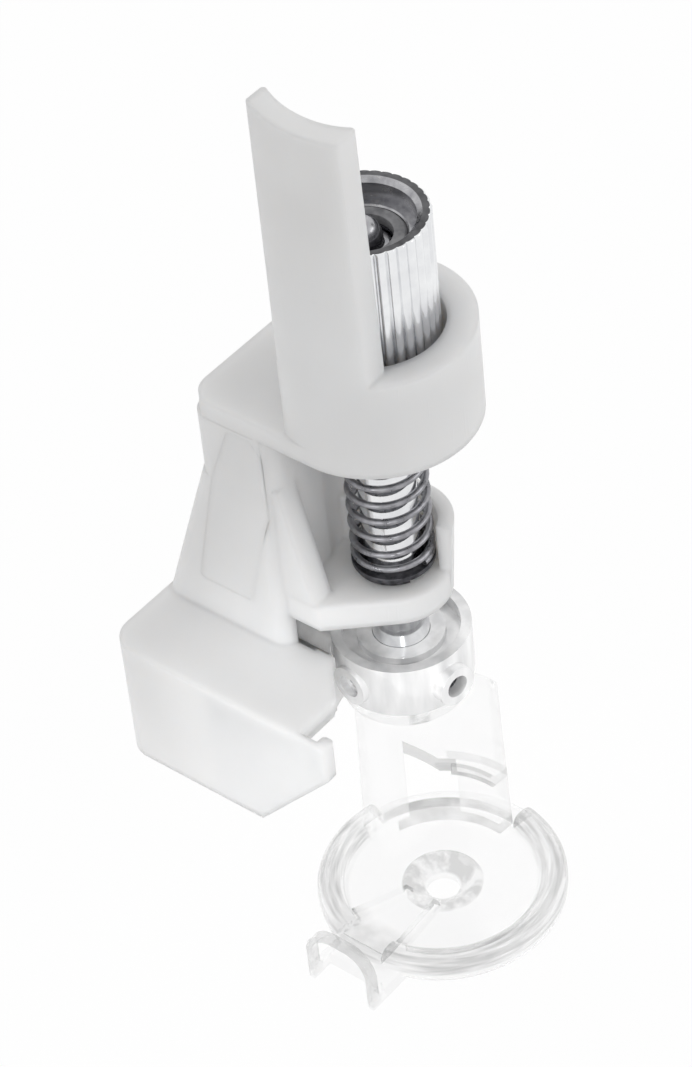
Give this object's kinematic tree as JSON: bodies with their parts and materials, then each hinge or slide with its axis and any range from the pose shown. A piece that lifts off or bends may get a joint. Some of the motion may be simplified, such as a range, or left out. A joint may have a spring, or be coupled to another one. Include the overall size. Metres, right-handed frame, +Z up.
{
  "type": "sewing machine presser foot",
  "caption": "Low-shank spring-action presser foot for free-motion work: a white moulded bracket with a height-adjusting nut, sprung rod and clear round sole with a yarn guide.",
  "frame": {"origin": "centre of the needle hole, on the plane of the sole's underside", "axes": "+Z up along the needle, -X towards the presser bar clamp, -Y towards the yarn guide"},
  "size_m": [0.0297, 0.0249, 0.067],
  "materials": {
    "body_plastic": "natural white nylon, slightly translucent, satin from the mould",
    "bright_chrome": "bright nickel-chrome plating",
    "plain_steel": "plain turned steel",
    "spring_steel": "black oiled steel",
    "screw_steel": "blackened steel",
    "ring_nylon": "grey nylon",
    "clear_plastic": "clear polished polycarbonate"
  },
  "bodies": {
    "frame": {"body": "body_plastic", "spring": "spring_steel"},
    "nut_carrier": {"thrust_washer": "plain_steel"},
    "nut": {"adjusting_nut": "bright_chrome", "lock_ring": "ring_nylon"},
    "foot": {"rod": "bright_chrome", "retaining_clip": "spring_steel", "spring_washer": "spring_steel", "holder": "bright_chrome", "rod_set_screw": "screw_steel", "foot_set_screw": "screw_steel", "guide_pin": "bright_chrome", "clear_foot": "clear_plastic"}
  },
  "joints": [
    {"name": "foot_lift", "type": "slide", "parent": "frame", "child": "nut_carrier", "axis": [0, 0, 1], "range_m": [0, 0.002], "stiffness_N_per_m": 400, "springref_m": -0.004, "deforming": ["spring"]},
    {"name": "nut_turn", "type": "hinge", "parent": "nut_carrier", "child": "nut", "pos_m": [-0.0056, 0.0045, 0.049], "axis": [0, 0, -1], "range_deg": [0, 720]},
    {"name": "foot_height", "type": "slide", "parent": "nut_carrier", "child": "foot", "axis": [0, 0, 1], "range_m": [0, 0.0014]}
  ],
  "couplings": [
    {"joint": "nut_turn", "follows": "foot_height", "rad_per_m": 8975.9}
  ]
}
